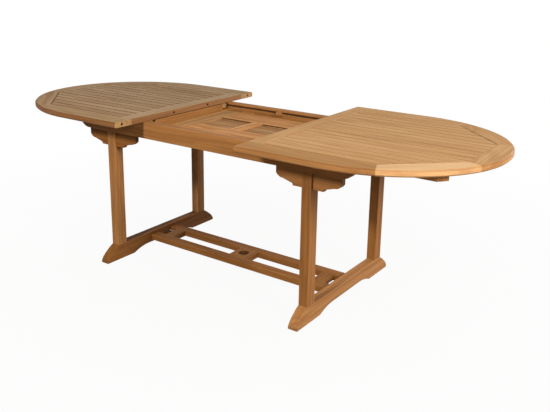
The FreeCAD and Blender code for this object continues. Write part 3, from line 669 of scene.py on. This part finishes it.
@dataclass
class TrestleBase:
    """The still base: two trestles, the frame under the top and the lower stretcher."""

    joinery: Joinery
    post_tones: dict[tuple[str, str], float]
    foot_tones: dict[str, float]
    bracket_tones: dict[str, float]
    bolt_sides: int = 20
    bolt_radius: float = 0.004
    bolt_back: float = 0.03
    washer_radius: float = 0.0098
    washer_thick: float = 0.0012
    nut_radius: float = 0.008
    nut_high: float = 0.006
    nut_sides: int = 6
    nut_ease: float = 0.0004
    cross_tones: tuple[tuple[str, float], ...] = (
        ("well_rail", -0.09), ("trestle_rail", -0.05), ("leaf_bearer", 0.0), ("tie", -0.17))
    long_tones: tuple[tuple[str, float], ...] = (("apron", -0.04), ("stretcher", -0.25))
    hub_tone: float = -0.16
    stop_tone: float = 0.02
    nose: tuple[tuple[float, float], ...] = (
        (0.400, 0.003), (0.397, 0.013), (0.389, 0.025), (0.375, 0.039), (0.352, 0.057), (0.3245, 0.075))

    def carve_noses(self, mesh: bmesh.types.BMesh) -> None:
        """Carves a foot's two noses to a bow that runs from the post's front down to the floor.

        Args:
            mesh: The mesh of a foot.
        """
        for side in (-1, 1):
            for (low_y, low_z), (high_y, high_z) in zip(self.nose, self.nose[1:]):
                every = [*mesh.verts, *mesh.edges, *mesh.faces]
                outwards = (0, side * (high_z - low_z), low_y - high_y)
                bmesh.ops.bisect_plane(mesh, geom=every, dist=CUT_DISTANCE,
                                       plane_co=(0, side * low_y, low_z), plane_no=outwards,
                                       clear_outer=True)
                rim = [edge for edge in mesh.edges if edge.is_boundary]
                bmesh.ops.holes_fill(mesh, edges=rim)
        bmesh.ops.recalc_face_normals(mesh, faces=mesh.faces)

    def build(self) -> None:
        """Dresses every board of the base and sets its bolts."""
        for end in ("left", "right"):
            self.joinery.dress(f"{end}_foot", tone=self.foot_tones[end], carve=self.carve_noses)
            for part, tone in self.cross_tones:
                self.joinery.dress(f"{end}_{part}", tone=tone)
            for row in ("front", "back"):
                self.joinery.dress(f"{row}_{end}_post", tone=self.post_tones[row, end])
                self.joinery.dress(f"{row}_{end}_bracket", tone=self.bracket_tones[end])
        for row in ("front", "back"):
            for part, tone in self.long_tones:
                self.joinery.dress(f"{row}_{part}", tone=tone)
        self.joinery.dress("parasol_hub", tone=self.hub_tone)
        self.joinery.dress("closing_stops", tone=self.stop_tone)
        self.build_bolts()

    def build_bolts(self) -> bpy.types.Object:
        """Models the bolts between ties and feet with washers and eased six-sided nuts.

        Returns:
            The piece with both bolts.
        """
        low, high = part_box("stretcher_bolts")
        tie_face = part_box("right_tie")[1].x
        across = high.y - self.nut_radius
        level = (low.z + high.z) / 2
        mesh = bmesh.new()
        for side_x in (-1, 1):
            turn = Vector((0, 0, 1)).rotation_difference(Vector((side_x, 0, 0))).to_matrix().to_4x4()
            base = Matrix.Translation((side_x * tie_face, -side_x * across, level)) @ turn
            self.add_drum(mesh, base, -self.bolt_back, high.x - tie_face, self.bolt_radius, self.bolt_sides)
            self.add_drum(mesh, base, 0, self.washer_thick, self.washer_radius, self.bolt_sides)
            nut = self.add_drum(mesh, base, self.washer_thick, self.nut_high, self.nut_radius,
                                self.nut_sides)
            edges = {edge for vertex in nut for edge in vertex.link_edges}
            bmesh.ops.bevel(mesh, geom=list(edges), offset=self.nut_ease, offset_type="OFFSET", segments=2,
                            profile=0.5, affect="EDGES", clamp_overlap=True, material=-1)
        piece = new_piece("stretcher_bolt_set", mesh, METALS[Metal.ZINC], "base")
        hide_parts("stretcher_bolts")
        return piece

    def add_drum(self, mesh: bmesh.types.BMesh, base: Matrix, start: float, end: float, radius: float,
                 sides: int) -> list[bmesh.types.BMVert]:
        """Adds a round or many-sided drum along a bolt.

        Args:
            mesh: The mesh that the drum goes into.
            base: The bolt's own frame, with its length along Z.
            start: Where the drum starts along the bolt.
            end: Where it ends.
            radius: Its radius over the corners.
            sides: The number of its sides.

        Returns:
            The drum's vertices.
        """
        middle = base @ Matrix.Translation((0, 0, (start + end) / 2))
        return bmesh.ops.create_cone(mesh, cap_ends=True, segments=sides, radius1=radius, radius2=radius,
                                     depth=end - start, matrix=middle)["verts"]


@dataclass
class HalfTop:
    """One sliding half of the oval top."""

    side: str
    joinery: Joinery
    screw: Screw
    slats: int = 16
    slat_gap: float = 0.004
    batten_margin: float = 0.012
    batten_edge: float = 0.001
    runner_screws: int = 6
    runner_first_share: float = 0.06
    runner_step_share: float = 0.165
    corner_tones: tuple[float, float] = (0.0, 0.0)
    board_tones: tuple[float, float] = (0.0, 0.0)
    header_tone: float = 0.0
    runner_tone: float = -0.06
    end_tone: float = 0.02
    batten_tone: float = -0.05
    corner_seam_dark: float = 0.9

    def build(self) -> None:
        """Dresses the half's boards and sets the screws under it."""
        dress = self.joinery.dress
        dress_corner = replace(self.joinery, seam_shade=self.corner_seam_dark).dress
        turns = (Grain.RISING, Grain.FALLING) if self.side == "right" else (Grain.FALLING, Grain.RISING)
        inwards = -1 if self.side == "right" else 1
        for i, row in enumerate(("front", "back")):
            seam = Vector((inwards, 1 - 2 * i, 0)).normalized()
            dress_corner(f"{self.side}_{row}_corner", turns[i], self.corner_tones[i], [seam])
            dress(f"{self.side}_{row}_board", tone=self.board_tones[i])
            dress(f"{self.side}_{row}_runner", tone=self.runner_tone)
        for part, tone in (("end_board", self.end_tone), ("header", self.header_tone),
                           ("battens", self.batten_tone)):
            dress(f"{self.side}_{part}", tone=tone)
        dress(f"{self.side}_slats", seams=[Vector((0, 1, 0)), Vector((0, -1, 0))])
        self.build_screws()

    def build_screws(self) -> bpy.types.Object:
        """Sets screws up through the battens into the slats, clear of the aprons, and through the runners.

        Returns:
            The piece with all the half's screws.
        """
        mesh = bmesh.new()
        low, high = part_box(f"{self.side}_slats")
        pitch = (high.y - low.y + self.slat_gap) / self.slats
        down = Vector((0, 0, -1))
        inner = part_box(f"{self.side}_back_runner")[0].y - self.screw.radius
        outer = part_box("back_apron")[1].y + self.screw.radius
        for first, last, under, end in self.batten_spans():
            for i in range(self.slats):
                across = low.y + pitch * (i + 0.5) - self.slat_gap / 2
                if abs(across) < inner or outer < abs(across) < end - self.batten_margin:
                    self.screw.add(mesh, Vector(((first + last) / 2, across, under)), down)
        for row in ("front", "back"):
            bar_low, bar_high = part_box(f"{self.side}_{row}_runner")
            middle = (bar_low.y + bar_high.y) / 2
            for i in range(self.runner_screws):
                share = self.runner_first_share + self.runner_step_share * i
                along = bar_low.x + (bar_high.x - bar_low.x) * share
                self.screw.add(mesh, Vector((along, middle, bar_low.z)), down)
        return new_piece(f"{self.side}_top_screws", mesh, METALS[Metal.ZINC], f"{self.side}_top")

    def batten_spans(self) -> list[tuple[float, float, float, float]]:
        """Reads where the half's battens lie.

        Returns:
            For each batten its lowest and highest X, its underside and its half length.
        """
        data = frame["nodes"][f"{self.side}_battens"].data
        mesh = bmesh.new()
        mesh.from_mesh(data)
        bmesh.ops.remove_doubles(mesh, verts=mesh.verts, dist=MERGE_DISTANCE)
        spans = []
        for board in islands(mesh):
            xs = [vertex.co.x for vertex in board]
            reach = min(max(vertex.co.y for vertex in board if abs(vertex.co.x - x) < self.batten_edge)
                        for x in (min(xs), max(xs)))
            spans.append((min(xs), max(xs), min(vertex.co.z for vertex in board), reach))
        mesh.free()
        return spans


@dataclass
class FoldingLeaf:
    """The stored leaf: two framed halves face to face, with their hinges."""

    joinery: Joinery
    slats: Joinery
    dowels: Joinery
    screw: Screw
    border_tone: float = -0.12
    batten_tone: float = 0.09
    header_tone: float = -0.06
    slat_tone: float = -0.2
    plate_thick: float = 0.0015
    screw_places: tuple[float, float] = (0.078, 0.122)

    def build(self) -> None:
        """Dresses both halves of the leaf with their dowels and hinges."""
        for half, body in (("lower", "leaf_lower"), ("upper", "leaf_upper")):
            self.joinery.dress(f"{half}_leaf_border", tone=self.border_tone)
            self.joinery.dress(f"{half}_leaf_battens", tone=self.batten_tone)
            self.slats.dress(f"{half}_leaf_headers", tone=self.header_tone)
            self.slats.dress(f"{half}_leaf_slats", tone=self.slat_tone)
            self.dowels.dress(f"{half}_leaf_dowels")
            self.paint(f"{half}_leaf_hinges")
            self.build_screws(half, body)
        self.paint("hinge_pins")
        self.dowels.dress("right_dowels")

    def paint(self, node: str) -> None:
        """Gives a hinge node its metal.

        Args:
            node: The node, which keeps its own shape.
        """
        data = frame["nodes"][node].data
        data.materials.clear()
        data.materials.append(METALS[Metal.BRASS])
        log.info("%s keeps its own shape", node)

    def build_screws(self, half: str, body: str) -> bpy.types.Object:
        """Sets the screws in the hinge plates of one half.

        Args:
            half: The half's name, lower or upper.
            body: The body that the half belongs to.

        Returns:
            The piece with the half's hinge screws.
        """
        low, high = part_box(f"{half}_leaf_hinges")
        pin_low, pin_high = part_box("hinge_pins")
        level = (low.z + pin_low.z) / 2 if half == "lower" else (high.z + pin_high.z) / 2
        face = low.y + self.plate_thick
        mesh = bmesh.new()
        for side in (-1, 1):
            for place in self.screw_places:
                self.screw.add(mesh, Vector((side * place, face, level)), Vector((0, 1, 0)))
        return new_piece(f"{half}_leaf_hinge_screws", mesh, METALS[Metal.BRASS], body)


@dataclass(frozen=True)
class PhotoCamera:
    """The camera at the photograph's viewing angle."""

    place: tuple[float, float, float] = (1.9226, -2.5389, 1.411)
    yaw: float = 0.6195
    pitch: float = -0.2691
    roll: float = 0.0119
    lens: float = 45.94
    shift: tuple[float, float] = (0.0208, -0.0844)
    sensor: float = 36.0
    reach: float = 100.0

    def build(self) -> bpy.types.Object:
        """Builds the camera and makes it the scene's own.

        Returns:
            The camera.
        """
        ahead = Vector((-math.sin(self.yaw) * math.cos(self.pitch),
                        math.cos(self.yaw) * math.cos(self.pitch), math.sin(self.pitch)))
        right = Vector((math.cos(self.yaw), math.sin(self.yaw), 0))
        above = right.cross(ahead)
        turned_right = math.cos(self.roll) * right + math.sin(self.roll) * above
        turned_above = math.cos(self.roll) * above - math.sin(self.roll) * right
        data = bpy.data.cameras.new("photo_camera")
        data.lens = self.lens
        data.sensor_width = self.sensor
        data.shift_x, data.shift_y = self.shift
        data.clip_end = self.reach
        camera = bpy.data.objects.new("photo_camera", data)
        turn = Matrix((turned_right, turned_above, -ahead)).transposed().to_4x4()
        camera.matrix_world = Matrix.Translation(self.place) @ turn
        bpy.context.scene.collection.objects.link(camera)
        bpy.context.scene.camera = camera
        return camera


@dataclass(frozen=True)
class Lamp:
    """A large soft lamp."""

    name: str
    place: tuple[float, float, float]
    aim: tuple[float, float, float]
    size: float
    power: float

    def build(self) -> bpy.types.Object:
        """Builds the lamp.

        Returns:
            The lamp, turned to what it lights.
        """
        data = bpy.data.lights.new(self.name, "AREA")
        data.shape = "SQUARE"
        data.size = self.size
        data.energy = self.power
        lamp = bpy.data.objects.new(self.name, data)
        lamp.location = self.place
        ahead = Vector(self.aim) - Vector(self.place)
        lamp.rotation_euler = ahead.to_track_quat("-Z", "Y").to_euler()
        bpy.context.scene.collection.objects.link(lamp)
        return lamp


@dataclass
class Studio:
    """A plain white studio with soft light."""

    floor_size: float = 40.0
    floor_level: float = -0.0005
    floor_colour: Colour = (0.30, 0.27, 0.22)
    sky_level: float = 0.115
    sky_colour: Colour = (1.0, 0.86, 0.62)
    floor_show: float = 0.945
    floor_reach: float = 3.2
    lamps: Iterable[Lamp] = (
        Lamp("front_key", (-0.2, -4.2, 2.95), (0.0, 0.0, 0.5), 0.5, 182),
        Lamp("right_key", (6.4, -1.5, 3.9), (0.3, 0.0, 0.5), 2.2, 588),
        Lamp("back_fill", (2.4, 4.9, 1.4), (0.0, 0.0, 0.5), 1.2, 78),
    )

    def build(self) -> None:
        """Builds the floor, the sky and the lamps."""
        bpy.context.scene.view_settings.view_transform = "Standard"
        self.build_floor()
        self.build_sky()
        for lamp in self.lamps:
            lamp.build()

    def seen(self, nodes: NodeTree) -> bpy.types.NodeSocket:
        """Adds a mask of the rays that show the background: the camera's, mirrored and passed ones.

        Args:
            nodes: The tree that the mask goes into.

        Returns:
            The mask's socket.
        """
        path = nodes.add("LightPath").outputs
        mirrored = nodes.math("MAXIMUM", path["Is Glossy Ray"], path["Is Transmission Ray"])
        return nodes.math("MAXIMUM", path["Is Camera Ray"], mirrored)

    def build_floor(self) -> bpy.types.Object:
        """Builds the pale floor, which keeps a faint shadow of the table.

        Returns:
            The floor.
        """
        mesh = bmesh.new()
        bmesh.ops.create_grid(mesh, x_segments=1, y_segments=1, size=self.floor_size / 2)
        bmesh.ops.translate(mesh, verts=mesh.verts, vec=(0, 0, self.floor_level))
        data = bpy.data.meshes.new("studio_floor")
        mesh.to_mesh(data)
        mesh.free()
        material = bpy.data.materials.new("studio_floor")
        material.use_nodes = True
        material.node_tree.nodes.clear()
        nodes = NodeTree(material.node_tree)
        lit = nodes.add("BsdfDiffuse", {"Color": (*self.floor_colour, 1)})
        shown = nodes.add("Emission", {"Color": (1, 1, 1, 1), "Strength": 1.0})
        away = nodes.add("VectorMath", {0: nodes.add("TexCoord").outputs["Object"]}, operation="LENGTH")
        rise = nodes.add("MapRange", {"Value": away.outputs["Value"], "From Max": self.floor_reach,
                                      "To Min": self.floor_show}, interpolation_type="SMOOTHSTEP")
        share = nodes.math("MULTIPLY", self.seen(nodes), rise.outputs[0])
        mixed = nodes.add("MixShader", {0: share, 1: lit.outputs[0], 2: shown.outputs[0]})
        nodes.add("OutputMaterial", {"Surface": mixed.outputs[0]})
        data.materials.append(material)
        floor = bpy.data.objects.new("studio_floor", data)
        bpy.context.scene.collection.objects.link(floor)
        return floor

    def build_sky(self) -> bpy.types.World:
        """Builds the even sky, which is white where it is seen.

        Returns:
            The world.
        """
        world = bpy.data.worlds.new("studio_sky")
        world.use_nodes = True
        world.node_tree.nodes.clear()
        nodes = NodeTree(world.node_tree)
        light = nodes.add("Background", {"Color": (*self.sky_colour, 1), "Strength": self.sky_level})
        shown = nodes.add("Background", {"Color": (1, 1, 1, 1), "Strength": 1.0})
        mixed = nodes.add("MixShader", {0: self.seen(nodes), 1: light.outputs[0], 2: shown.outputs[0]})
        nodes.add("OutputWorld", {"Surface": mixed.outputs[0]})
        bpy.context.scene.world = world
        return world


def split_bores() -> tuple[Bore, ...]:
    """Finds the dowel holes of the left half's split edge, which face the right half's dowels.

    Returns:
        The holes.
    """
    mesh = bmesh.new()
    mesh.from_mesh(frame["nodes"]["right_dowels"].data)
    bmesh.ops.remove_doubles(mesh, verts=mesh.verts, dist=MERGE_DISTANCE)
    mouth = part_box("left_header")[1].x
    bores = []
    for dowel in islands(mesh):
        middle = sum((vertex.co for vertex in dowel), Vector()) / len(dowel)
        bores.append(Bore(Vector((mouth, middle.y, middle.z)), Vector((1, 0, 0)), DOWEL_BORE_RADIUS))
    mesh.free()
    return tuple(bores)


def base_hollows() -> tuple[Bore | Trough, ...]:
    """Finds the parasol pole's bore and the grooves that the tops' runners slide in.

    Returns:
        The hollows of the base.
    """
    pole = Bore(Vector((0, 0, 0)), Vector((0, 0, 1)), POLE_BORE_RADIUS, POLE_BORE_SHADE)
    hollows: list[Bore | Trough] = [pole]
    skin, wall = 0.0005, 0.004
    low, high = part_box("back_apron")
    for side in (-1, 1):
        reach = sorted((side * (low.y + skin), side * (high.y - wall)))
        hollows.append(Trough(Vector((low.x, reach[0], low.z)),
                              Vector((high.x, reach[1], high.z - wall))))
    return tuple(hollows)


def main() -> None:
    """Builds the table's looks and the studio around it."""
    logging.basicConfig(level=logging.INFO, format="%(name)s: %(message)s")
    wood_screw = Screw()
    hinge_screw = Screw(radius=0.0021, proud=0.0002, recess=0.0005)
    TrestleBase(
        Joinery(BASE_TIMBER, "base_timber", hollows=base_hollows()),
        # the front left post's lift is painted light; the right posts are darker
        post_tones={("front", "left"): 0.08, ("front", "right"): -0.1,
                    ("back", "left"): 0.0, ("back", "right"): -0.13},
        # the left foot's lower tone is painted shade
        foot_tones={"left": -0.26, "right": 0.03},
        # the left brackets' lower tone is painted shade, the top's shadow on them
        bracket_tones={"left": -0.22, "right": -0.05},
    ).build()
    HalfTop(
        "left", Joinery(LEFT_SHADED_TIMBER, "left_top_timber", spread=0.09, hollows=split_bores()), wood_screw,
        header_tone=0.1,
    ).build()
    HalfTop(
        "right", Joinery(RIGHT_LIT_TIMBER, "right_top_timber", spread=0.05, seam_shade=0.3), wood_screw,
        # the right front corner's lift is painted light on the corner that faces the lamps
        corner_tones=(0.35, -0.02), board_tones=(-0.24, -0.02), header_tone=-0.1,
    ).build()
    FoldingLeaf(
        Joinery(LEAF_TIMBER, "leaf_timber"), Joinery(SLAT_TIMBER, "leaf_timber"),
        Joinery(DOWEL_TIMBER, "dowel_timber", ease=0.0006), hinge_screw,
    ).build()
    Studio().build()
    PhotoCamera().build()


if __name__ == "__main__":
    main()
